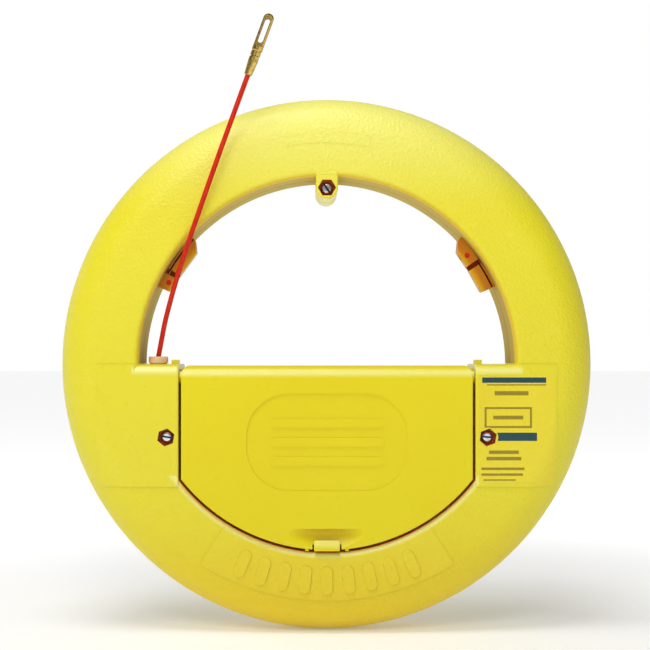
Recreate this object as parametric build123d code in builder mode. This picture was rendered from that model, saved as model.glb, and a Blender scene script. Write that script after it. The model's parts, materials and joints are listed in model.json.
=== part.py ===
from build123d import *
import os
from math import cos, radians, sin, tan

# Fish tape reel. A ring-shaped case in two halves stores a coil of stiff fibreglass rod.
# The lower half of the ring's opening is a storage compartment with a hinged door, the upper
# half is the hand opening. Millimetres. The ring's axis is Y and the front faces -Y, +X is to
# the right and +Z up. The origin is the ring's centre, on the parting plane of the two halves.

# Case
case_r = 170.0
hand_r = 118.5
half_depth = 26.0
wall = 3.0
rim_round = 24.0
lip_round = 4.0
seam = 0.4
panel_rise = 0.6
flat_depth = half_depth + panel_rise
fill_r = 124.0

# Raised bars on the panel at the bottom of the front
bar_circle = 136.0
bar_length = 18.0
bar_width = 7.5
bar_rise = 1.0

# Blocks beside the compartment, and the panels that run on from them over the ring
block_x = 93.4
block_top = 0.0
block_low = -77.0
block_round = 5.5
block_side_round = 1.2
panel_x = 144.5
shelf_top = -3.5
shelf_front = 9.0

# Screws that clamp the halves, all on one circle
screw_circle = 111.2
screw_angles = {"top": 90.0, "left": 204.4, "right": 335.6}
pocket_across = 11.5
pocket_floor = 18.5
column_r = 7.8
boss_r = 7.0
screw_r = 2.4
screw_hole_r = 2.6
head_r = 3.9
head_height = 2.9
head_round = 1.9
slot_width = 1.2
slot_depth = 1.3
slot_angles = {"top": -56.0, "left": -10.0, "right": -4.0}
nut_across = 10.6
nut_height = 3.8

# Door of the compartment
door_gap = 1.6
door_top = -0.8
door_front = 26.4
door_back = 15.0
door_wall = 2.6
door_round = 7.5
door_corner = 6.0
corner_over = 0.2
hinge_y = -(door_front - door_round)
hinge_z = door_top - door_round
knuckle_r = 4.0
hinge_pin_r = 1.5
running_gap = 0.06
side_gap = 0.3

# Finger scoop in the door, cut by a profile turned about an upright axis in front of the door,
# and the two nubs on the door's lower edge
scoop_r = 92.0
scoop_top = -103.0
scoop_depth = 3.0
scoop_height = 15.0
scoop_outside = -door_front - 4
scoop_back_half = 28.0
scoop_back_rise = 3.0
nub_x = 12.6
nub_width = 2.2
nub_top = -115.5
nub_low = -117.5

# Catch in the door
catch_half = 8.15
catch_slot_half = 9.2
catch_slot_top = -113.3
catch_top = -110.6
catch_low = -117.3
catch_pivot = (-16.4, -114.8)

# Rod, its route outside the case, and the guide it comes out of
rod_r = 1.59
route = [
    (-107.3, -12.0, 4.9),
    (-102.2, -18.0, 29.0),
    (-94.2, -24.6, 56.0),
    (-82.8, -30.9, 88.0),
    (-66.4, -35.0, 134.0),
    (-49.3, -37.3, 179.8),
]
tail_length = 58.0
guide_r = 6.2
guide_body_r = 5.4
guide_low = -4.0
guide_reveal = 0.8
wiper_r = 4.2
wiper_height = 1.8
bore_r = rod_r + running_gap

# Stored coil: rows of turns, each row as (radius, turns side by side)
coil_rows = [(163.6, 6), (160.5, 9), (157.4, 11), (154.3, 5)]
turn_pitch = 3.3

# Latches on the ring's inner wall
latch_middle = -8.0
latch_half = 5.0
cheek = 2.0
latch_pin_circle = 113.3
latch_pin_r = 1.7
latch_knuckle_r = 3.2
strip_r = 116.9
lever_outer_r = 115.9

exit_point = Vector(*route[0])
exit_way = (Vector(*route[1]) - exit_point).normalized()
exit_plane = Plane(origin=exit_point, z_dir=exit_way)
tip_point = Vector(*route[-1])
tip_way = (tip_point - Vector(*route[-2])).normalized()
tip_side = Vector(tip_way.Z, 0, -tip_way.X).normalized()

os.makedirs("parts", exist_ok=True)


def on_circle(radius, angle):
    """Point at an angle on a circle about the ring's axis, as front-view (x, z)."""
    return (radius * cos(radians(angle)), radius * sin(radians(angle)))


def ring_section(grow, top):
    """Section of one half of the ring, from the height top to its front, grown by grow."""
    inner = hand_r - grow
    outer = case_r + grow
    depth = half_depth + grow
    lip = max(lip_round + grow, 0.5)
    rim = rim_round + grow
    with BuildSketch(Plane.XY) as section:
        with BuildLine():
            Line((outer, top), (inner, top))
            Line((inner, top), (inner, lip - depth))
            CenterArc((inner + lip, lip - depth), lip, 180, 90)
            Line((inner + lip, -depth), (outer - rim, -depth))
            CenterArc((outer - rim, rim - depth), rim, 270, 90)
            Line((outer, rim - depth), (outer, top))
        make_face()
    return section.sketch


def raised_panel(region, rise):
    """Solid under a panel that stands proud of the ring by rise, in the outline of region."""
    with BuildPart() as panel:
        with BuildSketch(Plane.XY):
            add(ring_section(rise, 0))
        revolve(axis=Axis.Y)
        with BuildSketch(Plane.XZ):
            add(region)
        extrude(amount=half_depth + 2 * rise, mode=Mode.INTERSECT)
    return panel.part


def arc_region(inner, outer, start, span):
    """Front-view outline between two circles, from the angle start over span."""
    with BuildSketch(Plane.XY) as region:
        with BuildLine():
            CenterArc((0, 0), inner, start, span)
            CenterArc((0, 0), outer, start, span)
            Line(on_circle(inner, start), on_circle(outer, start))
            Line(on_circle(inner, start + span), on_circle(outer, start + span))
        make_face()
    return region.sketch


def side_region(side):
    """Front-view outline of the smooth panel beside the compartment, past the inner wall."""
    width = panel_x - block_x
    with BuildSketch(Plane.XY) as region:
        with Locations((side * (block_x + width / 2), block_low / 2)):
            Rectangle(width, -block_low)
        Circle(fill_r - wall, mode=Mode.SUBTRACT)
    return region.sketch


def block(side):
    """Solid block between the ring and the compartment, with its top front edge rounded."""
    width = fill_r - block_x
    with BuildPart() as solid:
        with BuildSketch(Plane.XZ):
            Circle(fill_r)
            with Locations((side * (block_x + width / 2), block_low / 2)):
                Rectangle(width, -block_low, mode=Mode.INTERSECT)
        extrude(amount=flat_depth)
        top_edges = solid.edges().filter_by(Axis.X).group_by(Axis.Z)[-1]
        fillet(top_edges.sort_by(Axis.Y)[0], block_round)
        upright = solid.edges().filter_by(Axis.Z).group_by(Axis.Y)[0]
        inner_edge = upright.sort_by(Axis.X)[0 if side > 0 else -1]
        fillet(inner_edge, block_side_round)
    return solid.part


def block_pocket(side):
    """Front-view outline of the hollow in a block, clear of the screw column."""
    screw_at = on_circle(screw_circle, screw_angles["left" if side < 0 else "right"])
    width = hand_r - block_x - wall
    with BuildSketch(Plane.XY) as region:
        Circle(hand_r)
        with Locations((side * (hand_r - width / 2), block_low / 2 - wall)):
            Rectangle(width, -block_low, mode=Mode.INTERSECT)
        with Locations(screw_at):
            Circle(column_r, mode=Mode.SUBTRACT)
    return region.sketch


def top_boss():
    """Screw boss that hangs from the inner wall at the top of the ring."""
    height = fill_r - screw_circle
    with BuildPart() as boss:
        with BuildSketch(Plane.XZ):
            with Locations((0, screw_circle)):
                Circle(boss_r)
            with Locations((0, screw_circle + height / 2)):
                Rectangle(2 * boss_r, height)
        extrude(amount=half_depth)
        front_edges = boss.faces().sort_by(Axis.Y)[0].edges()
        fillet(front_edges.filter_by(lambda e: e.center().Z < fill_r - 1), 1.2)
    return boss.part


def case_half():
    """Front half of the case without the features that only the front or the back has."""
    with BuildPart() as half:
        with BuildSketch(Plane.XY):
            add(ring_section(0, 0))
        revolve(axis=Axis.Y)
        chamfer(half.edges().group_by(Axis.Y)[-1], seam)
        for side in (-1, 1):
            add(block(side))
            add(raised_panel(side_region(side), panel_rise))
        add(top_boss())
        add(raised_panel(arc_region(fill_r - wall, 148.7, 237.5, 65), panel_rise))
        add(raised_panel(arc_region(139.5, 146.0, 79, 22), panel_rise / 2))
        with BuildSketch(Plane.XY):
            add(ring_section(-wall, seam))
        revolve(axis=Axis.Y, mode=Mode.SUBTRACT)
        for side in (-1, 1):
            with BuildSketch(Plane.XZ):
                add(block_pocket(side))
            extrude(amount=flat_depth - wall, mode=Mode.SUBTRACT)
        for name, angle in screw_angles.items():
            turn = 0 if name == "top" else 20
            with BuildSketch(Plane.XZ.offset(pocket_floor)):
                with Locations(on_circle(screw_circle, angle)):
                    RegularPolygon(pocket_across / 2, 6, rotation=turn)
            extrude(amount=half_depth, mode=Mode.SUBTRACT)
            with BuildSketch(Plane.XZ):
                with Locations(on_circle(screw_circle, angle)):
                    Circle(screw_hole_r)
            extrude(amount=half_depth, mode=Mode.SUBTRACT)
    return half.part


front_half = case_half()

# Front half of the case: raised bars, hinge pin holes, guide hole, door stops and part of the shelf.
with BuildPart() as front_shell:
    add(front_half)
    with BuildSketch(Plane.XZ.offset(half_depth)):
        with PolarLocations(bar_circle, 9, 247, 46, endpoint=True):
            SlotOverall(bar_length, bar_width)
    extrude(amount=panel_rise + bar_rise)
    fillet(front_shell.edges().group_by(Axis.Y)[0], 0.5)
    with BuildSketch(Plane.XZ):
        with Locations((0, shelf_top - wall / 2)):
            Rectangle(2 * block_x + 1, wall)
    extrude(amount=shelf_front)
    for stop_angle in (236, 304):
        with BuildSketch(Plane.XZ.offset(door_back - 2.8)):
            add(arc_region(hand_r - 2.4, hand_r + 0.5, stop_angle - 2.5, 5))
        extrude(amount=2.5)
    for side in (-1, 1):
        with BuildSketch(Plane.XY):
            with Locations((side * (block_x + 3.1), -10)):
                Rectangle(4.6, 8)
        extrude(amount=2.8)
        with BuildSketch(Plane.YZ.offset(side * (block_x - 1))):
            with Locations((hinge_y, hinge_z)):
                Circle(hinge_pin_r + 0.02)
        extrude(amount=side * (wall + 2), mode=Mode.SUBTRACT)
    with BuildSketch(Plane.XY.offset(block_top - wall - 1)):
        with Locations((exit_point.X, exit_point.Y)):
            Circle(guide_body_r + 0.05)
    extrude(amount=wall + 2, mode=Mode.SUBTRACT)
    with BuildSketch(exit_plane.offset(-tail_length - 25)):
        Circle(2 * rod_r)
    extrude(amount=tail_length + 5, mode=Mode.SUBTRACT)
front_shell.part.label = "front_shell"
export_step(front_shell.part, "parts/front_shell.step")

# Back half of the case: the same half mirrored, with the compartment's floor and shelf.
with BuildPart() as back_shell:
    mirror(front_half, about=Plane.XZ)
    with BuildSketch(Plane.XZ.offset(-flat_depth)):
        Circle(fill_r)
        with Locations((0, shelf_top - fill_r / 2)):
            Rectangle(2 * block_x + 1, fill_r, mode=Mode.INTERSECT)
    extrude(amount=wall)
    with BuildSketch(Plane.XZ):
        with Locations((0, shelf_top - wall / 2)):
            Rectangle(2 * block_x + 1, wall)
    extrude(amount=-flat_depth)
    with BuildSketch(exit_plane.offset(-tail_length - 25)):
        Circle(2 * rod_r)
    extrude(amount=tail_length + 5, mode=Mode.SUBTRACT)
back_shell.part.label = "back_shell"
export_step(back_shell.part, "parts/back_shell.step")


def door_form(inset):
    """The door's outer form moved in by inset: a D outline with a rounded top front edge."""
    width = 2 * (block_x - door_gap - inset)
    with BuildPart() as form:
        with BuildSketch(Plane.XZ.offset(door_back - inset)) as outline:
            Circle(hand_r - door_gap - inset)
            with Locations((0, door_top + corner_over - inset - case_r / 2)):
                Rectangle(width, case_r, mode=Mode.INTERSECT)
            fillet(outline.vertices().group_by(Axis.Y)[-1], max(door_corner - inset, 1))
        extrude(amount=door_front - door_back)
        with BuildSketch(Plane.YZ) as profile:
            with Locations((inset - door_front + case_r / 2, door_top - inset - case_r / 2)):
                Rectangle(case_r, case_r)
            top_front = profile.vertices().group_by(Axis.Y)[-1].sort_by(Axis.X)[0]
            fillet(top_front, door_round - inset)
        extrude(amount=case_r, both=True, mode=Mode.INTERSECT)
    return form.part


# Compartment door: a hollow plate with hinge knuckles, a sunk panel with three plain bars,
# a finger scoop with a thicker wall behind it, and a slot for the catch.
with BuildPart() as compartment_door:
    add(door_form(0))
    edge_line = compartment_door.faces().sort_by(Axis.Y)[0].edges()
    fillet(edge_line.filter_by(lambda e: e.center().Z < hinge_z - 1), 0.8)
    add(door_form(door_wall), mode=Mode.SUBTRACT)
    with BuildSketch(Plane.XZ.offset(door_front - scoop_depth - door_wall)) as scoop_back:
        Circle(hand_r - door_gap - 1)
        with Locations((0, scoop_top + scoop_back_rise - case_r / 2)):
            Rectangle(2 * scoop_back_half, case_r, mode=Mode.INTERSECT)
    extrude(amount=scoop_depth + 1)
    for side in (-1, 1):
        with BuildSketch(Plane.YZ.offset(side * (block_x - side_gap))):
            with Locations((hinge_y, hinge_z)):
                Circle(knuckle_r)
        extrude(amount=-side * 9)
        with BuildSketch(Plane.YZ.offset(side * (block_x - side_gap))):
            with Locations((hinge_y, hinge_z)):
                Circle(hinge_pin_r + running_gap)
        extrude(amount=-side * 9, mode=Mode.SUBTRACT)
    with BuildSketch(Plane.XZ.offset(door_front - 0.8)):
        with Locations((0, -49)):
            RectangleRounded(101.4, 61.2, 27)
    extrude(amount=1, mode=Mode.SUBTRACT)
    with BuildSketch(Plane.XZ.offset(door_front - 0.9)):
        with GridLocations(1, 12, 1, 3):
            with Locations((0, -49)):
                SlotOverall(72, 6)
    extrude(amount=0.7)
    with BuildSketch(Plane.YZ):
        with BuildLine():
            Line((scoop_outside, scoop_top), (scoop_depth - 0.6 - door_front, scoop_top - 0.5))
            Spline(
                (scoop_depth - 0.6 - door_front, scoop_top - 0.5),
                (scoop_depth - door_front, scoop_top - 0.25 * scoop_height),
                (0.6 * scoop_depth - door_front, scoop_top - 0.6 * scoop_height),
                (-0.4 - door_front, scoop_top - scoop_height),
            )
            Line((-0.4 - door_front, scoop_top - scoop_height), (scoop_outside, scoop_top - scoop_height))
            Line((scoop_outside, scoop_top - scoop_height), (scoop_outside, scoop_top))
        make_face()
    revolve(axis=Axis((0, -door_front - scoop_r, 0), (0, 0, 1)), mode=Mode.SUBTRACT)
    with BuildSketch(Plane.XZ.offset(door_back - 1)):
        with Locations((0, catch_slot_top - 5)):
            Rectangle(2 * catch_slot_half, 10)
    extrude(amount=door_front, mode=Mode.SUBTRACT)
    for side in (-1, 1):
        with BuildSketch(Plane.XZ.offset(door_front - 4)):
            with Locations((side * nub_x, (nub_top + nub_low) / 2)):
                Rectangle(nub_width, nub_top - nub_low)
        extrude(amount=3)
compartment_door.part.label = "compartment_door"
export_step(compartment_door.part, "parts/compartment_door.step")

# Catch: a tab in front of the door, on an arm that turns on a bead in the door's slot.
with BuildPart() as door_catch:
    with BuildSketch(Plane.XZ.offset(door_front + 0.25)):
        with Locations((0, (catch_top + catch_low) / 2)):
            RectangleRounded(2 * catch_half, catch_top - catch_low, 0.8)
    extrude(amount=1.9)
    tab_front = door_catch.faces().sort_by(Axis.Y)[0]
    fillet(tab_front.edges(), 0.6)
    arm_back = -catch_pivot[0]
    with BuildSketch(Plane.XZ.offset(arm_back)):
        with Locations((0, catch_low + 1.6)):
            Rectangle(15, 2)
    extrude(amount=door_front + 0.5 - arm_back)
    with BuildSketch(Plane.YZ):
        with Locations(catch_pivot):
            Circle(1.1)
        with Locations((catch_pivot[0], catch_pivot[1] - 0.8)):
            Rectangle(1.8, 1.6)
    extrude(amount=7.5, both=True)
    with BuildSketch(Plane.YZ):
        with Locations(catch_pivot):
            Circle(1.1)
    extrude(amount=catch_slot_half - 0.02, both=True)
door_catch.part.label = "door_catch"
export_step(door_catch.part, "parts/door_catch.step")

# Hinge pins of the door, pressed into the blocks.
for name, side in (("left", -1), ("right", 1)):
    with BuildPart() as hinge_pin:
        with BuildSketch(Plane.YZ.offset(side * (block_x - side_gap - 8.5))):
            with Locations((hinge_y, hinge_z)):
                Circle(hinge_pin_r)
        extrude(amount=side * (8.5 + side_gap + wall + 0.8))
        chamfer(hinge_pin.edges().filter_by(GeomType.CIRCLE), 0.3)
    hinge_pin.part.label = f"hinge_pin_{name}"
    export_step(hinge_pin.part, f"parts/hinge_pin_{name}.step")

# Screws and nuts that clamp the halves.
for name, angle in screw_angles.items():
    centre = on_circle(screw_circle, angle)
    with BuildPart() as case_screw:
        with BuildSketch(Plane.XZ.offset(pocket_floor)):
            with Locations(centre):
                Circle(head_r)
        extrude(amount=head_height)
        fillet(case_screw.faces().sort_by(Axis.Y)[0].edges(), head_round)
        with BuildSketch(Plane.XZ.offset(pocket_floor)):
            with Locations(centre):
                Circle(screw_r)
        extrude(amount=-2 * pocket_floor - nut_height)
        with BuildSketch(Plane.XZ.offset(pocket_floor + head_height - slot_depth)):
            with Locations(centre):
                Rectangle(3 * head_r, slot_width, rotation=slot_angles[name])
        extrude(amount=2 * slot_depth, mode=Mode.SUBTRACT)
        tip_edges = case_screw.faces().sort_by(Axis.Y)[-1].edges()
        chamfer(tip_edges, 0.5)
    case_screw.part.label = f"case_screw_{name}"
    export_step(case_screw.part, f"parts/case_screw_{name}.step")

    turn = 0 if name == "top" else 20
    with BuildPart() as case_nut:
        with BuildSketch(Plane.XZ.offset(-pocket_floor)):
            with Locations(centre):
                RegularPolygon(nut_across / 2, 6, rotation=turn)
                Circle(screw_r + 0.02, mode=Mode.SUBTRACT)
        extrude(amount=-nut_height)
    case_nut.part.label = f"case_nut_{name}"
    export_step(case_nut.part, f"parts/case_nut_{name}.step")

# Guide on top of the left block, with its slanted bore and a ring of felt in its mouth.
with BuildPart() as exit_bushing:
    with BuildSketch(Plane.XY.offset(guide_low)):
        with Locations((exit_point.X, exit_point.Y)):
            Circle(guide_body_r)
    extrude(amount=guide_reveal - guide_low)
    with BuildSketch(Plane.XY.offset(block_top + guide_reveal)):
        with Locations((exit_point.X, exit_point.Y)):
            Circle(guide_r)
    extrude(amount=exit_point.Z - block_top - guide_reveal)
    chamfer(exit_bushing.faces().sort_by(Axis.Z)[-1].edges(), 0.5)
    with BuildSketch(Plane.XY.offset(exit_point.Z - wiper_height)):
        with Locations((exit_point.X, exit_point.Y)):
            Circle(wiper_r)
    extrude(amount=wiper_height + 1, mode=Mode.SUBTRACT)
    with BuildSketch(exit_plane.offset(-20)):
        Circle(bore_r)
    extrude(amount=25, mode=Mode.SUBTRACT)
exit_bushing.part.label = "exit_bushing"
export_step(exit_bushing.part, "parts/exit_bushing.step")

with BuildPart() as exit_wiper:
    with BuildSketch(Plane.XY.offset(exit_point.Z - wiper_height)):
        with Locations((exit_point.X, exit_point.Y)):
            Circle(wiper_r - 0.05)
    extrude(amount=wiper_height - 0.1)
    with BuildSketch(exit_plane.offset(-20)):
        Circle(bore_r)
    extrude(amount=25, mode=Mode.SUBTRACT)
exit_wiper.part.label = "exit_wiper"
export_step(exit_wiper.part, "parts/exit_wiper.step")

# Sleeve on the inner end of the rod, which lies in the innermost row of the stored coil.
end_angle = 60.0
end_r = coil_rows[-1][0]
end_x, end_z = on_circle(end_r, end_angle)
end_way = (-sin(radians(end_angle)), 0, cos(radians(end_angle)))
with BuildPart() as rod_end_stop:
    with BuildSketch(Plane(origin=(end_x, 0, end_z), z_dir=end_way)):
        Circle(1.6 * rod_r)
    extrude(amount=7, both=True)
    chamfer(rod_end_stop.edges().filter_by(GeomType.CIRCLE), 0.5)
rod_end_stop.part.label = "rod_end_stop"
export_step(rod_end_stop.part, "parts/rod_end_stop.step")

# Stored coil: a bundle of turns side by side, filled between their centres.
edge_front = []
edge_back = []
centres = []
for row_r, turns in coil_rows:
    half_row = turn_pitch * (turns - 1) / 2
    edge_front.append((row_r, -half_row))
    edge_back.insert(0, (row_r, half_row))
    for turn in range(turns):
        centres.append((row_r, turn * turn_pitch - half_row))
with BuildPart() as rod_coil:
    with BuildSketch(Plane.XY):
        with BuildLine():
            Polyline(*edge_front, *edge_back, close=True)
        make_face()
        with Locations(*centres):
            Circle(rod_r)
    revolve(axis=Axis.Y)
    add(rod_end_stop.part, mode=Mode.SUBTRACT)
rod_coil.part.label = "rod_coil"
export_step(rod_coil.part, "parts/rod_coil.step")

# Rod: its straight stretch below the guide, and the stretch outside the case.
with BuildPart() as rod_tail:
    with BuildSketch(exit_plane):
        Circle(rod_r)
    extrude(amount=-tail_length)
rod_tail.part.label = "rod_tail"
export_step(rod_tail.part, "parts/rod_tail.step")

route_points = [Vector(*point) for point in route]
radii = []
for before, here, after in zip(route_points, route_points[1:], route_points[2:]):
    turn = (here - before).get_angle(after - here)
    shorter = min((here - before).length, (after - here).length)
    radii.append(0.45 * shorter / tan(radians(turn / 2)))
print("rod radii", [round(radius) for radius in radii])
with BuildPart() as rod_free:
    with BuildLine() as rod_line:
        FilletPolyline(*route_points, radius=radii)
    with BuildSketch(exit_plane):
        Circle(rod_r)
    sweep(path=rod_line.wires()[0])
rod_length = rod_line.wires()[0].length
rod_sections = rod_free.part.volume / (3.14159265 * rod_r**2)
print("rod length", round(rod_length, 1), "volume over section", round(rod_sections, 1))
rod_free.part.label = "rod_free"
export_step(rod_free.part, "parts/rod_free.step")

# Fittings on the end of the rod, turned about its last straight stretch.
ferrule_length = 11.5
ferrule_low_r = 2.4
ferrule_high_r = 3.05
stud_r = 1.3
stud_length = 6.0
eyelet_length = 28.6
eyelet_r = 3.3
tip_section = Plane(origin=tip_point, x_dir=tip_side, z_dir=tip_side.cross(tip_way))
tip_axis = Axis(tip_point, tip_way)
with BuildPart() as tip_ferrule:
    with BuildSketch(tip_section):
        with BuildLine():
            Polyline(
                (0, 0),
                (ferrule_low_r - 0.3, 0),
                (ferrule_low_r, 0.3),
                (ferrule_high_r, 8.6),
                (ferrule_high_r, ferrule_length),
                (0, ferrule_length),
                close=True,
            )
        make_face()
    revolve(axis=tip_axis)
    with BuildSketch(Plane(origin=tip_point + tip_way * ferrule_length, z_dir=tip_way)):
        Circle(stud_r + running_gap)
    extrude(amount=-stud_length - 0.3, mode=Mode.SUBTRACT)
tip_ferrule.part.label = "tip_ferrule"
export_step(tip_ferrule.part, "parts/tip_ferrule.step")

eyelet_start = ferrule_length + 0.05
eye_low = 10.4
eye_long = 15.8
eye_wide = 3.4
flat_half = 2.2
with BuildPart() as tip_eyelet:
    with BuildSketch(tip_section):
        with BuildLine():
            Polyline(
                (0, eyelet_start - stud_length),
                (stud_r, eyelet_start - stud_length),
                (stud_r, eyelet_start),
                (2.6, eyelet_start),
                (2.6, eyelet_start + 0.7),
                (3.1, eyelet_start + 1.1),
                (3.1, eyelet_start + 3.4),
                (2.85, eyelet_start + 3.6),
                (2.85, eyelet_start + 4.0),
                (eyelet_r, eyelet_start + 4.6),
                (eyelet_r, eyelet_start + eyelet_length - eyelet_r),
            )
            CenterArc((0, eyelet_start + eyelet_length - eyelet_r), eyelet_r, 0, 90)
            Line((0, eyelet_start + eyelet_length), (0, eyelet_start - stud_length))
        make_face()
    revolve(axis=tip_axis)
    slot_middle = eyelet_start + eye_low - 1.0 + eye_long / 2
    flat_plane = Plane(
        origin=tip_point + tip_way * slot_middle,
        x_dir=tip_way,
        z_dir=tip_way.cross(tip_side),
    )
    for side in (-1, 1):
        with BuildSketch(flat_plane.offset(side * flat_half)):
            RectangleRounded(eye_long + 4.5, 2 * eyelet_r + 1, 2.5)
        extrude(amount=side * eyelet_r, mode=Mode.SUBTRACT)
    with BuildSketch(flat_plane):
        SlotOverall(eye_long, eye_wide)
    extrude(amount=eyelet_r, both=True, mode=Mode.SUBTRACT)
tip_eyelet.part.label = "tip_eyelet"
export_step(tip_eyelet.part, "parts/tip_eyelet.step")


def latch_plane(angle):
    """Plane at a latch pin: x runs clockwise round the ring, y away from the ring's axis."""
    clockwise = (sin(radians(angle)), 0, -cos(radians(angle)))
    at_x, at_z = on_circle(latch_pin_circle, angle)
    return Plane(origin=(at_x, latch_middle, at_z), x_dir=clockwise, z_dir=(0, -1, 0))


def from_pin(radius, turn):
    """Point at a radius, and clockwise from the latch pin by an angle, on the latch's plane."""
    along = radius * sin(radians(turn))
    return (along, radius * cos(radians(turn)) - latch_pin_circle)


def latch_outline(inner, toe_turn):
    """Outline of a whole latch: its inner edge as (radius, turn) points, then a slanted toe."""
    foot_turn = inner[0][1]
    with BuildSketch(Plane.XY) as outline:
        with BuildLine():
            Polyline(
                from_pin(hand_r + 1, foot_turn),
                *[from_pin(radius, turn) for radius, turn in inner],
                from_pin(115.3, toe_turn),
                from_pin(hand_r + 1, toe_turn),
                close=True,
            )
        make_face()
        with Locations((0, -latch_pin_circle)):
            Circle(hand_r - 0.02, mode=Mode.INTERSECT)
        square_corner = outline.vertices().sort_by_distance(from_pin(*inner[0]))[0]
        fillet(square_corner, 1.2)
    return outline.sketch


# Latches: a bracket with two cheeks and a strip along the wall, a pin, and a lever.
# Each entry gives the pin's angle, the inner edge from the square end to the slanted one, and
# clockwise from the pin the toe, the end of the cheeks, the start of the lever and its end.
latches = {
    "left": (152.7, ((110.6, -2.6), (109.3, 3.6), (109.2, 13.3)), 16.0, 2.4, 3.8, 16.1),
    "right": (37.7, ((108.8, 12.9), (108.8, 4.2), (109.5, -2.9)), -5.6, 3.0, 4.4, 13.0),
}
for name, (angle, inner, toe, cheek_end, lever_start, lever_end) in latches.items():
    plane = latch_plane(angle)
    outline = latch_outline(inner, toe)
    pin_gap = latch_knuckle_r + side_gap
    with BuildSketch(Plane.XY) as past_cheeks:
        with BuildLine():
            Polyline(
                from_pin(strip_r + 5, cheek_end),
                from_pin(100, cheek_end),
                from_pin(100, 25),
                from_pin(strip_r + 5, 25),
                close=True,
            )
        make_face()
        with Locations((0, -latch_pin_circle)):
            Circle(strip_r, mode=Mode.INTERSECT)
    with BuildSketch(Plane.XY) as between_cheeks:
        with Locations((10 - pin_gap, 0)):
            Rectangle(20, 40)
        with Locations((0, -latch_pin_circle)):
            Circle(strip_r, mode=Mode.INTERSECT)
    with BuildPart() as latch_base:
        with BuildSketch(plane):
            add(outline)
        extrude(amount=latch_half, both=True)
        with BuildSketch(plane):
            add(past_cheeks.sketch)
        extrude(amount=latch_half + 1, both=True, mode=Mode.SUBTRACT)
        with BuildSketch(plane):
            add(between_cheeks.sketch)
        extrude(amount=latch_half - cheek, both=True, mode=Mode.SUBTRACT)
        with BuildSketch(plane):
            Circle(latch_pin_r + 0.02)
        extrude(amount=latch_half + 1, both=True, mode=Mode.SUBTRACT)
    latch_base.part.label = f"latch_base_{name}"
    export_step(latch_base.part, f"parts/latch_base_{name}.step")

    with BuildPart() as latch_lever:
        with BuildSketch(plane):
            with BuildLine():
                Polyline(
                    from_pin(lever_outer_r + 2, lever_start),
                    from_pin(100, lever_start),
                    from_pin(100, lever_end),
                    from_pin(lever_outer_r + 2, lever_end),
                    close=True,
                )
            make_face()
            add(outline, mode=Mode.INTERSECT)
            with Locations((0, -latch_pin_circle)):
                Circle(lever_outer_r, mode=Mode.INTERSECT)
        extrude(amount=latch_half, both=True)
        with BuildSketch(plane):
            Circle(latch_knuckle_r)
            link = from_pin(latch_pin_circle, lever_start)[0] + 1
            with Locations((link / 2, 0)):
                Rectangle(link, 4 * latch_knuckle_r)
            add(outline, mode=Mode.INTERSECT)
            with Locations((0, -latch_pin_circle)):
                Circle(lever_outer_r, mode=Mode.INTERSECT)
        extrude(amount=latch_half - cheek - side_gap, both=True)
        with BuildSketch(plane):
            Circle(latch_pin_r + running_gap)
        extrude(amount=latch_half, both=True, mode=Mode.SUBTRACT)
    latch_lever.part.label = f"latch_lever_{name}"
    export_step(latch_lever.part, f"parts/latch_lever_{name}.step")

    with BuildPart() as latch_pin:
        with BuildSketch(plane):
            Circle(latch_pin_r)
        extrude(amount=latch_half - 0.4, both=True)
    latch_pin.part.label = f"latch_pin_{name}"
    export_step(latch_pin.part, f"parts/latch_pin_{name}.step")

# Label: a thin film on the right block and the panel beside it, open round the screw pocket.
label_thick = 0.15
label_box = (95.5, 143.0, -74.0, -6.5)
label_fold = 128.0


def label_region(left, right):
    """Front-view outline of a stretch of the label, without the opening round the pocket."""
    with BuildSketch(Plane.XY) as region:
        with Locations(((left + right) / 2, (label_box[2] + label_box[3]) / 2)):
            Rectangle(right - left, label_box[3] - label_box[2])
        with Locations(on_circle(screw_circle, screw_angles["right"])):
            Circle(pocket_across / 2 + 0.6, mode=Mode.SUBTRACT)
    return region.sketch


with BuildPart() as id_label:
    add(raised_panel(label_region(label_fold - 1, label_box[1]), panel_rise + label_thick))
    with BuildSketch(Plane.XY):
        add(ring_section(panel_rise, 0))
    revolve(axis=Axis.Y, mode=Mode.SUBTRACT)
    with BuildSketch(Plane.XZ.offset(flat_depth)):
        add(label_region(label_box[0], label_fold))
    extrude(amount=label_thick)
id_label.part.label = "id_label"
export_step(id_label.part, "parts/id_label.step")
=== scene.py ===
import json
import math

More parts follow.
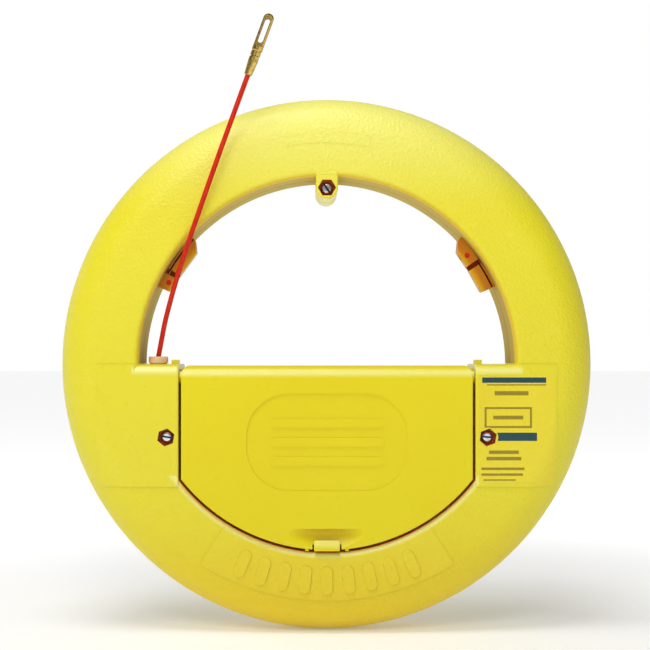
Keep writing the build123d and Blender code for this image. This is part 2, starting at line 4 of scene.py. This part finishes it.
import bpy
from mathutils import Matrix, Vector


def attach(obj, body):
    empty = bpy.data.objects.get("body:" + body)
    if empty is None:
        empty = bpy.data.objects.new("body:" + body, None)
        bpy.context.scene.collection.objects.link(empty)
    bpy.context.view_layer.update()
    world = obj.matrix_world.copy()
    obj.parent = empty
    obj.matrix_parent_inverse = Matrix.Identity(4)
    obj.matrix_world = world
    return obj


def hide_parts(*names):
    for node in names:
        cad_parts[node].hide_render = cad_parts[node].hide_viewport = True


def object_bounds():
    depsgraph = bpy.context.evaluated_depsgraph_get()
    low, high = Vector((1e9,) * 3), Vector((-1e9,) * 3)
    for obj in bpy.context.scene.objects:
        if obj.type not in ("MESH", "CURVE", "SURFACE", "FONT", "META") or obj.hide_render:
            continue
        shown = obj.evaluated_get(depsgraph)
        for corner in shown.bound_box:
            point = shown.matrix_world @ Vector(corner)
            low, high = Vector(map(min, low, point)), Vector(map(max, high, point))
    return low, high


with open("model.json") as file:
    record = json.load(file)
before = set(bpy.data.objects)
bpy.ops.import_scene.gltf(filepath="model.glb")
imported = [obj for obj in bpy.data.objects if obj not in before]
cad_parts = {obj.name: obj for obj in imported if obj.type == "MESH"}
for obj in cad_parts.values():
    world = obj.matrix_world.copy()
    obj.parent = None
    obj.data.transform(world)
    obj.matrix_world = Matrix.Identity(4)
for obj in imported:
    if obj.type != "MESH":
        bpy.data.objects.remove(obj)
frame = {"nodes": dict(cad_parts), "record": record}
cad_low, cad_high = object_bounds()
nodes = frame["nodes"]
scene = bpy.context.scene

# Camera, level with the ring's centre and square to its face.
camera = bpy.data.objects.new("camera", bpy.data.cameras.new("camera"))
scene.collection.objects.link(camera)
camera.location = (-0.0139, -0.95, 0.0084)
camera.rotation_euler = (math.radians(90), 0, 0)
camera.data.sensor_width = 36
camera.data.lens = 81.4
camera.data.shift_x = 0.031
camera.data.shift_y = 0.040
scene.camera = camera


# Depth behind which a rounded front edge ends, and how softly its painted highlight band starts.
CREST_BACK = -0.0190
CREST_FEATHER = 0.001


class Shader:
    """A material with a Principled shader, and short calls that add nodes to it."""

    def __init__(self, name, **values):
        self.material = bpy.data.materials.new(name)
        self.material.use_nodes = True
        self.tree = self.material.node_tree
        self.surface = self.tree.nodes["Principled BSDF"]
        for socket, value in values.items():
            self.surface.inputs[socket.replace("_", " ")].default_value = value
        self.place = self.node("ShaderNodeTexCoord").outputs["Object"]
        split = self.node("ShaderNodeSeparateXYZ", self.place)
        self.x, self.y, self.z = split.outputs

    def put(self, socket, value):
        """Links a node output to a socket, or sets the socket's value."""
        if isinstance(value, bpy.types.NodeSocket):
            self.tree.links.new(value, socket)
        elif value is not None:
            socket.default_value = value

    def node(self, kind, *values, **settings):
        made = self.tree.nodes.new(kind)
        for setting, value in settings.items():
            setattr(made, setting, value)
        for socket, value in zip(made.inputs, values):
            self.put(socket, value)
        return made

    def math(self, operation, *values):
        return self.node("ShaderNodeMath", *values, operation=operation).outputs[0]

    def all_of(self, *values):
        """Where masks overlap: 1 only if every one is 1."""
        product = values[0]
        for value in values[1:]:
            product = self.math("MULTIPLY", product, value)
        return product

    def any_of(self, *values):
        """Where any mask is 1."""
        highest = values[0]
        for value in values[1:]:
            highest = self.math("MAXIMUM", highest, value)
        return highest

    def over(self, value, limit):
        return self.math("GREATER_THAN", value, limit)

    def under(self, value, limit):
        return self.math("LESS_THAN", value, limit)

    def between(self, value, low, high):
        return self.all_of(self.over(value, low), self.under(value, high))

    def ease(self, value, low, high):
        """0 where value is at low or beyond, 1 at high, and smooth between them."""
        made = self.node("ShaderNodeMapRange", value, low, high, interpolation_type="SMOOTHSTEP")
        return made.outputs[0]

    def length(self, first, second):
        """Distance from the origin of a plane with these two coordinates."""
        squares = [self.math("MULTIPLY", value, value) for value in (first, second)]
        return self.math("SQRT", self.math("ADD", *squares))

    def crest_highlight(self, low, high):
        """1 on a front edge that is rounded between two heights, where a painted highlight goes, and 0 off
        it.
        """
        middle = (low + high) / 2
        start = low - CREST_FEATHER
        band = self.all_of(self.ease(self.z, start, middle), self.ease(self.z, high, middle))
        return self.all_of(band, self.under(self.y, CREST_BACK))

    def noise(self, scale, detail=2.0, stretch=None):
        made = self.node("ShaderNodeTexNoise")
        made.inputs["Scale"].default_value = scale
        made.inputs["Detail"].default_value = detail
        where = self.place
        if stretch:
            where = self.node("ShaderNodeVectorMath", where, stretch, operation="MULTIPLY").outputs[0]
        self.put(made.inputs["Vector"], where)
        return made.outputs["Fac"]

    def cells(self, scale):
        made = self.node("ShaderNodeTexVoronoi", feature="SMOOTH_F1")
        made.inputs["Scale"].default_value = scale
        self.put(made.inputs["Vector"], self.place)
        return made.outputs["Distance"]

    def mix(self, amount, first, second):
        made = self.node("ShaderNodeMix", data_type="RGBA")
        self.put(made.inputs[0], amount)
        for socket, value in ((made.inputs[6], first), (made.inputs[7], second)):
            if isinstance(value, tuple):
                value = (*value, 1)
            self.put(socket, value)
        return made.outputs[2]

    def tint(self, base, mask, share, colour):
        """base, with a share of another colour where mask is above 0."""
        return self.mix(self.math("MULTIPLY", mask, share), base, colour)

    def bump(self, height, distance, under=None):
        made = self.node("ShaderNodeBump")
        made.inputs["Distance"].default_value = distance
        self.put(made.inputs["Height"], height)
        self.put(made.inputs["Normal"], under)
        return made.outputs["Normal"]

    def colour(self, value):
        self.put(self.surface.inputs["Base Color"], value)

    def roughness(self, low, high, texture, polish=None):
        """Roughness from low to high by a texture, and less where polish is above 0."""
        spread = self.node("ShaderNodeMapRange", texture, 0.3, 0.7, low, high).outputs[0]
        if polish:
            spread = self.math("SUBTRACT", spread, polish)
        self.put(self.surface.inputs["Roughness"], spread)

    def normal(self, value):
        self.put(self.surface.inputs["Normal"], value)


def wear(shader, base, dark, scuff):
    """Base colour with broad unevenness and a few fine, paler scuffs."""
    broad = shader.ease(shader.noise(9, 3), 0.35, 0.7)
    fine = shader.ease(shader.noise(55, 5, (1, 1, 6)), 0.66, 0.78)
    return shader.mix(shader.math("MULTIPLY", fine, 0.35), shader.mix(broad, base, dark), scuff)


# Colours that more than one finish or mask uses.
# The two reds are painted shade in the door gap and the screw pockets, and the pale edge colour is a painted
# highlight.
GAP_SHADE_RED = (0.80, 0.15, 0.010)
POCKET_SHADE_RED = (0.62, 0.13, 0.006)
HIGHLIGHT_PALE = (0.90, 0.90, 0.34)
YELLOW = (0.80, 0.71, 0.022)
YELLOW_DEEP = (0.79, 0.69, 0.020)
YELLOW_PALE = (0.85, 0.80, 0.12)

# Places on the case, in metres: top of the blocks, top of the door gap, and the ring's inner wall.
BLOCK_TOP = 0.0005
GAP_TOP = -0.0125
INNER_WALL = 0.1180

# Angles in degrees that the latches' links and levers cover, on the right and on the left.
LATCH_LINKS = ((33.2, 34.8), (148.8, 150.4))
LATCH_LEVERS = ((24.0, 34.8), (136.0, 150.4))


def make_shell():
    """Yellow moulding: pebble grain on the ring, smooth panels, painted shade and highlights, painted tan
    shade and reflection on the inner wall, dark seam.
    """
    s = Shader("moulded_yellow", Roughness=0.42, IOR=1.46)
    across = s.math("ABSOLUTE", s.x)
    depth = s.math("ABSOLUTE", s.y)
    radius = s.length(s.x, s.z)
    down = s.math("MULTIPLY", s.z, -1)

    # Panels without grain.
    side_panel = s.all_of(s.under(across, 0.1447), s.between(s.z, -0.0772, BLOCK_TOP))
    arc = s.all_of(s.under(radius, 0.1489), s.over(s.math("MULTIPLY", down, 0.637), across))
    inner = s.under(radius, 0.1195)
    smooth = s.any_of(side_panel, arc, inner)
    grain = s.math("SUBTRACT", 1, smooth)

    # Yellow with painted shade that makes it deeper low on the ring, and a painted sheen that makes it paler
    # at its top.
    base = wear(s, YELLOW, YELLOW_DEEP, YELLOW_PALE)
    base = s.tint(base, s.ease(s.z, -0.07, -0.17), 0.85, (0.80, 0.58, 0.008))
    base = s.tint(base, s.ease(s.z, 0.09, 0.165), 0.6, (0.86, 0.86, 0.25))

    # Painted amber shade on the lip round the hand opening, clear of the top boss.
    lip_edge = s.all_of(s.ease(radius, 0.1215, 0.1187), s.over(radius, 0.1178), s.over(depth, 0.0222))
    lip_shade = s.all_of(lip_edge, s.over(s.z, BLOCK_TOP), s.over(across, 0.0072))
    base = s.tint(base, lip_shade, 0.75, (0.76, 0.46, 0.005))

    # Painted highlights, pale, on the front edges under the door and on top of the blocks.
    low_edge = s.all_of(s.ease(radius, 0.1228, 0.1200), s.over(radius, INNER_WALL))
    low_lip_highlight = s.all_of(low_edge, s.under(s.y, -0.0228), s.under(s.z, -0.07))
    crest_highlight = s.all_of(s.crest_highlight(-0.0070, -0.0005), s.under(across, 0.1230), s.under(radius, 0.1239))
    base = s.tint(base, s.any_of(low_lip_highlight, crest_highlight), 0.65, HIGHLIGHT_PALE)

    # Painted red shade on the front band of the walls that face the door, and in the screw pockets.
    gap_side = s.all_of(s.between(across, 0.0930, 0.0937), s.under(s.z, GAP_TOP), s.under(radius, 0.1195))
    gap_arc = s.all_of(s.between(radius, INNER_WALL, 0.1189), s.under(s.z, -0.07), s.under(across, 0.0937))
    gap_depth = s.between(s.y, -0.0235, -0.0180)
    base = s.mix(s.all_of(s.any_of(gap_side, gap_arc), gap_depth), base, GAP_SHADE_RED)
    top_screw = s.length(s.x, s.math("SUBTRACT", s.z, 0.1112))
    side_screw = s.length(s.math("SUBTRACT", across, 0.1013), s.math("ADD", s.z, 0.0459))
    pocket_shade = s.all_of(s.under(s.math("MINIMUM", top_screw, side_screw), 0.0059), s.under(depth, 0.0258))
    base = s.mix(pocket_shade, base, POCKET_SHADE_RED)

    # Painted tan shade and reflection on the inner wall of the hand opening, and the seam between the halves.
    inner_wall_shade = s.all_of(s.between(radius, INNER_WALL, 0.1190), s.under(depth, 0.0225), s.over(s.z, BLOCK_TOP))
    base = s.tint(base, inner_wall_shade, 0.8, (0.50, 0.35, 0.09))
    seam = s.all_of(s.under(depth, 0.0006), s.under(radius, 0.1196))
    s.colour(s.tint(base, seam, 0.8, (0.35, 0.13, 0.01)))

    shelf = s.all_of(s.between(s.z, -0.0040, -0.0030), s.under(across, 0.0934))
    dull = s.math("MULTIPLY", s.any_of(inner_wall_shade, shelf), 0.5)
    s.roughness(0.36, 0.50, s.noise(130, 2), s.math("SUBTRACT", s.math("MULTIPLY", smooth, 0.12), dull))
    pebbles = s.math("MULTIPLY", s.cells(640), grain)
    s.normal(s.bump(s.noise(1500, 2), 0.00002, s.bump(pebbles, 0.00035)))
    return s.material


def make_door():
    """Glossier yellow of the door and its catch, with painted shade in the scoop, a painted highlight on the
    upper edge and on the catch, and painted red shade on the edges in the gap.
    """
    s = Shader("smooth_yellow", Roughness=0.3, IOR=1.38, Specular_IOR_Level=0.4)
    across = s.math("ABSOLUTE", s.x)
    radius = s.length(s.x, s.z)
    base = wear(s, (0.80, 0.68, 0.009), (0.79, 0.65, 0.007), (0.82, 0.72, 0.03))
    # Painted shade in the scoop.
    scoop_shade = s.all_of(s.ease(s.y, -0.0264, -0.0238), s.under(s.z, -0.1028), s.under(across, 0.0260))
    base = s.tint(base, scoop_shade, 0.75, (0.64, 0.44, 0.002))
    # Painted highlight on the door's rounded upper edge.
    base = s.tint(base, s.crest_highlight(-0.0080, -0.0020), 0.6, HIGHLIGHT_PALE)
    # Painted highlight on the catch tab, fading towards its bottom.
    tab_height = s.all_of(s.ease(s.z, -0.1165, -0.1130), s.under(s.z, -0.1100))
    tab_highlight = s.all_of(tab_height, s.under(across, 0.0082), s.under(s.y, -0.0262))
    base = s.tint(base, tab_highlight, 0.7, (0.92, 0.88, 0.22))
    # Painted red shade on the door's edges inside the gap.
    edge = s.any_of(s.over(across, 0.0917), s.over(radius, 0.1168))
    gap_edge_shade = s.all_of(edge, s.between(s.y, -0.0252, -0.0222), s.under(s.z, GAP_TOP))
    s.colour(s.mix(gap_edge_shade, base, GAP_SHADE_RED))
    s.roughness(0.26, 0.40, s.noise(90, 3))
    s.normal(s.bump(s.noise(1800, 2), 0.000015, s.bump(s.noise(26, 1), 0.0002)))
    return s.material


def make_latch():
    """Yellow plastic painted amber as if in shade, with a painted highlight paler towards the opening and
    painted shade dark in the slots round the levers.
    """
    s = Shader("moulded_amber", Roughness=0.38, IOR=1.4, Specular_IOR_Level=0.3)
    radius = s.length(s.x, s.z)
    turn = s.math("ARCTAN2", s.z, s.x)
    # Painted shade: the yellow plastic of the latches is coloured a deep amber.
    base = wear(s, (0.56, 0.20, 0.002), (0.48, 0.14, 0.001), (0.66, 0.36, 0.01))
    # Painted highlight, paler towards the opening.
    base = s.tint(base, s.ease(radius, 0.1130, 0.1092), 0.75, (0.72, 0.42, 0.004))

    def sectors(limits):
        return s.any_of(*[s.between(turn, math.radians(low), math.radians(high)) for low, high in limits])

    # Painted shade, dark in the slots round the levers and behind them.
    behind_lever = s.all_of(s.between(radius, 0.11585, 0.11695), sectors(LATCH_LEVERS))
    slot_shade = s.any_of(behind_lever, sectors(LATCH_LINKS))
    s.colour(s.mix(slot_shade, base, (0.24, 0.03, 0.002)))
    s.roughness(0.32, 0.46, s.noise(160, 3), s.math("MULTIPLY", slot_shade, -0.6))
    s.normal(s.bump(s.noise(1700, 2), 0.00002))
    return s.material


def make_metal(name, base, dark, low, high, streak, tarnish=0.6, slot=None):
    """Bare metal with fine directional marks, some tarnish, and painted shade on the floor of its slot."""
    s = Shader(name, Metallic=1.0, Roughness=0.3, Specular_Tint=(0.35, 0.30, 0.25, 1))
    stain = s.math("MULTIPLY", s.ease(s.noise(380, 4), 0.45, 0.7), tarnish)
    colour = s.mix(stain, base, dark)
    # Painted shade, near black, on the floor of the slot.
    if slot:
        colour = s.mix(s.between(s.y, *slot), colour, (0.02, 0.05, 0.08))
    s.colour(colour)
    s.roughness(low, high, s.noise(700, 3, streak))
    s.normal(s.bump(s.noise(2200, 2, streak), 0.00001))
    return s.material


def make_rod():
    s = Shader("red_coat", Roughness=0.45, IOR=1.4, Specular_IOR_Level=0.3)
    streaks = s.ease(s.noise(900, 3, (1, 1, 0.08)), 0.35, 0.7)
    s.colour(s.mix(streaks, (0.66, 0.022, 0.002), (0.52, 0.010, 0.001)))
    s.roughness(0.38, 0.52, s.noise(500, 3))
    s.normal(s.bump(streaks, 0.00004))
    return s.material


def make_bushing():
    s = Shader("tan_nylon", Roughness=0.45, IOR=1.5)
    s.colour(s.mix(s.ease(s.noise(220, 3), 0.4, 0.65), (0.88, 0.62, 0.36), (0.80, 0.52, 0.28)))
    s.roughness(0.38, 0.52, s.noise(600, 2))
    s.normal(s.bump(s.noise(1900, 2), 0.00003))
    return s.material


def make_felt():
    s = Shader("felt", Roughness=0.95, Sheen_Weight=0.3)
    fuzz = s.noise(2600, 4)
    s.colour(s.mix(s.ease(fuzz, 0.35, 0.65), (0.30, 0.17, 0.09), (0.55, 0.36, 0.22)))
    s.normal(s.bump(fuzz, 0.0003))
    return s.material


def make_label():
    """Yellow film with plain printed bars in place of print."""
    s = Shader("printed_film", Roughness=0.28, IOR=1.4)
    base = s.mix(s.ease(s.noise(14, 2), 0.35, 0.7), (0.84, 0.70, 0.03), (0.80, 0.64, 0.022))

    def bar(left, right, low, high):
        return s.all_of(s.between(s.x, left, right), s.between(s.z, low, high))

    teal = s.any_of(bar(0.0975, 0.1377, -0.0116, -0.0082), bar(0.0955, 0.1320, -0.0481, -0.0429))
    frame_outside = bar(0.0990, 0.1288, -0.0400, -0.0268)
    frame_inside = bar(0.1003, 0.1275, -0.0387, -0.0281)
    lines = s.any_of(
        bar(0.1005, 0.1377, -0.0133, -0.0125),
        bar(0.1053, 0.1266, -0.0195, -0.0168),
        s.math("SUBTRACT", frame_outside, frame_inside),
        bar(0.1045, 0.1233, -0.0346, -0.0322),
        bar(0.1018, 0.1205, -0.0563, -0.0541),
        bar(0.1002, 0.1221, -0.0603, -0.0581),
        bar(0.0970, 0.1240, -0.0664, -0.0648),
        bar(0.0970, 0.1231, -0.0700, -0.0685),
        bar(0.0983, 0.1186, -0.0731, -0.0722),
    )
    base = s.mix(teal, base, (0.012, 0.065, 0.080))
    s.colour(s.tint(base, lines, 0.72, (0.12, 0.055, 0.006)))
    s.roughness(0.22, 0.34, s.noise(120, 2))
    s.normal(s.bump(s.noise(420, 2), 0.00003))
    return s.material


rod_red = make_rod()
slot_floor = (-0.0203, -0.0199)
zinc = make_metal(
    "zinc_plate", (0.72, 0.76, 0.80), (0.40, 0.44, 0.48), 0.10, 0.24, (1, 1, 1), 0.5, slot_floor
)
pin_steel = make_metal("pin_steel", (0.42, 0.20, 0.08), (0.30, 0.12, 0.05), 0.30, 0.50, (1, 4, 1))
brass = make_metal("brass", (0.66, 0.47, 0.12), (0.26, 0.18, 0.05), 0.12, 0.24, (3, 3, 1))

finishes = {
    "shell": make_shell(),
    "door": make_door(),
    "latch": make_latch(),
    "pin": pin_steel,
    "screw": zinc,
    "bushing": make_bushing(),
    "felt": make_felt(),
    "label": make_label(),
    "rod": rod_red,
    "brass": brass,
}
for part in frame["record"]["subparts"]:
    mesh = nodes[part["node"]].data
    mesh.materials.clear()
    mesh.materials.append(finishes[part["material_slot"]])

# Rod outside the case, close to the route of its CAD tube. Its first stretch is straight, so that it
# slides through the guide without touching it.
ROD_DIAMETER = 0.00318
rod_route = [
    (-0.1073, -0.0120, 0.0049),
    (-0.1046, -0.0152, 0.0177),
    (-0.1022, -0.0180, 0.0290),
    (-0.0942, -0.0246, 0.0560),
    (-0.0828, -0.0309, 0.0880),
    (-0.0664, -0.0350, 0.1340),
    (-0.0493, -0.0373, 0.1798),
]
line = bpy.data.curves.new("rod", "CURVE")
line.dimensions = "3D"
line.bevel_depth = ROD_DIAMETER / 2
line.bevel_resolution = 6
line.resolution_u = 24
line.use_fill_caps = True
spline = line.splines.new("NURBS")
spline.points.add(len(rod_route) - 1)
for control, place in zip(spline.points, rod_route):
    control.co = (*place, 1)
spline.order_u = 3
spline.use_endpoint_u = True
line.materials.append(rod_red)
rod = bpy.data.objects.new("rod", line)
scene.collection.objects.link(rod)
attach(rod, "rod")
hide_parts("rod_free")

# Floor, studio light and background.
FLOOR_HALF = 12.0
floor_mesh = bpy.data.meshes.new("floor")
floor_z = cad_low[2]
floor_mesh.from_pydata(
    [(x * FLOOR_HALF, y * FLOOR_HALF, floor_z) for x, y in ((-1, -1), (1, -1), (1, 1), (-1, 1))],
    [],
    [(0, 1, 2, 3)],
)
floor = bpy.data.objects.new("floor", floor_mesh)
scene.collection.objects.link(floor)

# Paper that glows a little, and more away from the object, so that its far part stays white.
paper = Shader("paper", Roughness=0.9)
paper.colour(paper.mix(paper.noise(3, 2), (0.90, 0.90, 0.90), (0.94, 0.94, 0.94)))
paper.surface.inputs["Emission Color"].default_value = (1, 1, 1, 1)
distance = paper.node("ShaderNodeVectorMath", paper.place, operation="LENGTH").outputs["Value"]
glow = paper.math("ADD", 0.18, paper.math("MULTIPLY", paper.ease(distance, 0.15, 0.8), 0.5))
paper.put(paper.surface.inputs["Emission Strength"], glow)
floor_mesh.materials.append(paper.material)

# The background lights the object from behind, and less from overhead, in front and the right. The
# camera sees all of it white.
world = bpy.data.worlds.new("studio")
scene.world = world
world.use_nodes = True
sky = world.node_tree.nodes
links = world.node_tree.links
background = sky["Background"]
background.inputs["Color"].default_value = (1, 1, 1, 1)
direction = sky.new("ShaderNodeTexCoord")
split = sky.new("ShaderNodeSeparateXYZ")
links.new(direction.outputs["Generated"], split.inputs[0])


def falloff(value, start, end, first, last):
    """Smooth change from first to last as a part of the direction goes from start to end."""
    made = sky.new("ShaderNodeMapRange")
    made.interpolation_type = "SMOOTHSTEP"
    for socket, setting in zip(list(made.inputs)[1:5], (start, end, first, last)):
        socket.default_value = setting
    links.new(value, made.inputs["Value"])
    return made.outputs[0]


overhead = falloff(split.outputs["Z"], 0.24, 0.50, 1.0, 0.35)
in_front = falloff(split.outputs["Y"], 0.35, -0.15, 1.0, 0.32)
to_right = falloff(split.outputs["X"], 0.25, 0.70, 1.0, 0.5)
brightness = overhead
for part in (in_front, to_right):
    product = sky.new("ShaderNodeMath")
    product.operation = "MULTIPLY"
    links.new(brightness, product.inputs[0])
    links.new(part, product.inputs[1])
    brightness = product.outputs[0]
ray = sky.new("ShaderNodeLightPath")
seen = sky.new("ShaderNodeMath")
seen.operation = "MAXIMUM"
links.new(brightness, seen.inputs[0])
links.new(ray.outputs["Is Camera Ray"], seen.inputs[1])
links.new(seen.outputs[0], background.inputs["Strength"])


def softbox(name, place, aim, size, power):
    """Square area light at place, turned to face aim."""
    lamp = bpy.data.lights.new(name, "AREA")
    lamp.size = size
    lamp.energy = power
    box = bpy.data.objects.new(name, lamp)
    box.location = place
    way = [a - p for a, p in zip(aim, place)]
    box.rotation_euler = (
        math.atan2(math.hypot(way[0], way[1]), -way[2]),
        0,
        math.atan2(-way[0], way[1]) if way[0] or way[1] else 0,
    )
    scene.collection.objects.link(box)


softbox("key", (-0.25, -1.2, 0.9), (0, 0, 0), 0.7, 7.5)
softbox("overhead", (-0.2, -0.35, 1.2), (0, 0, 0), 0.6, 8)

scene.view_settings.view_transform = "Standard"
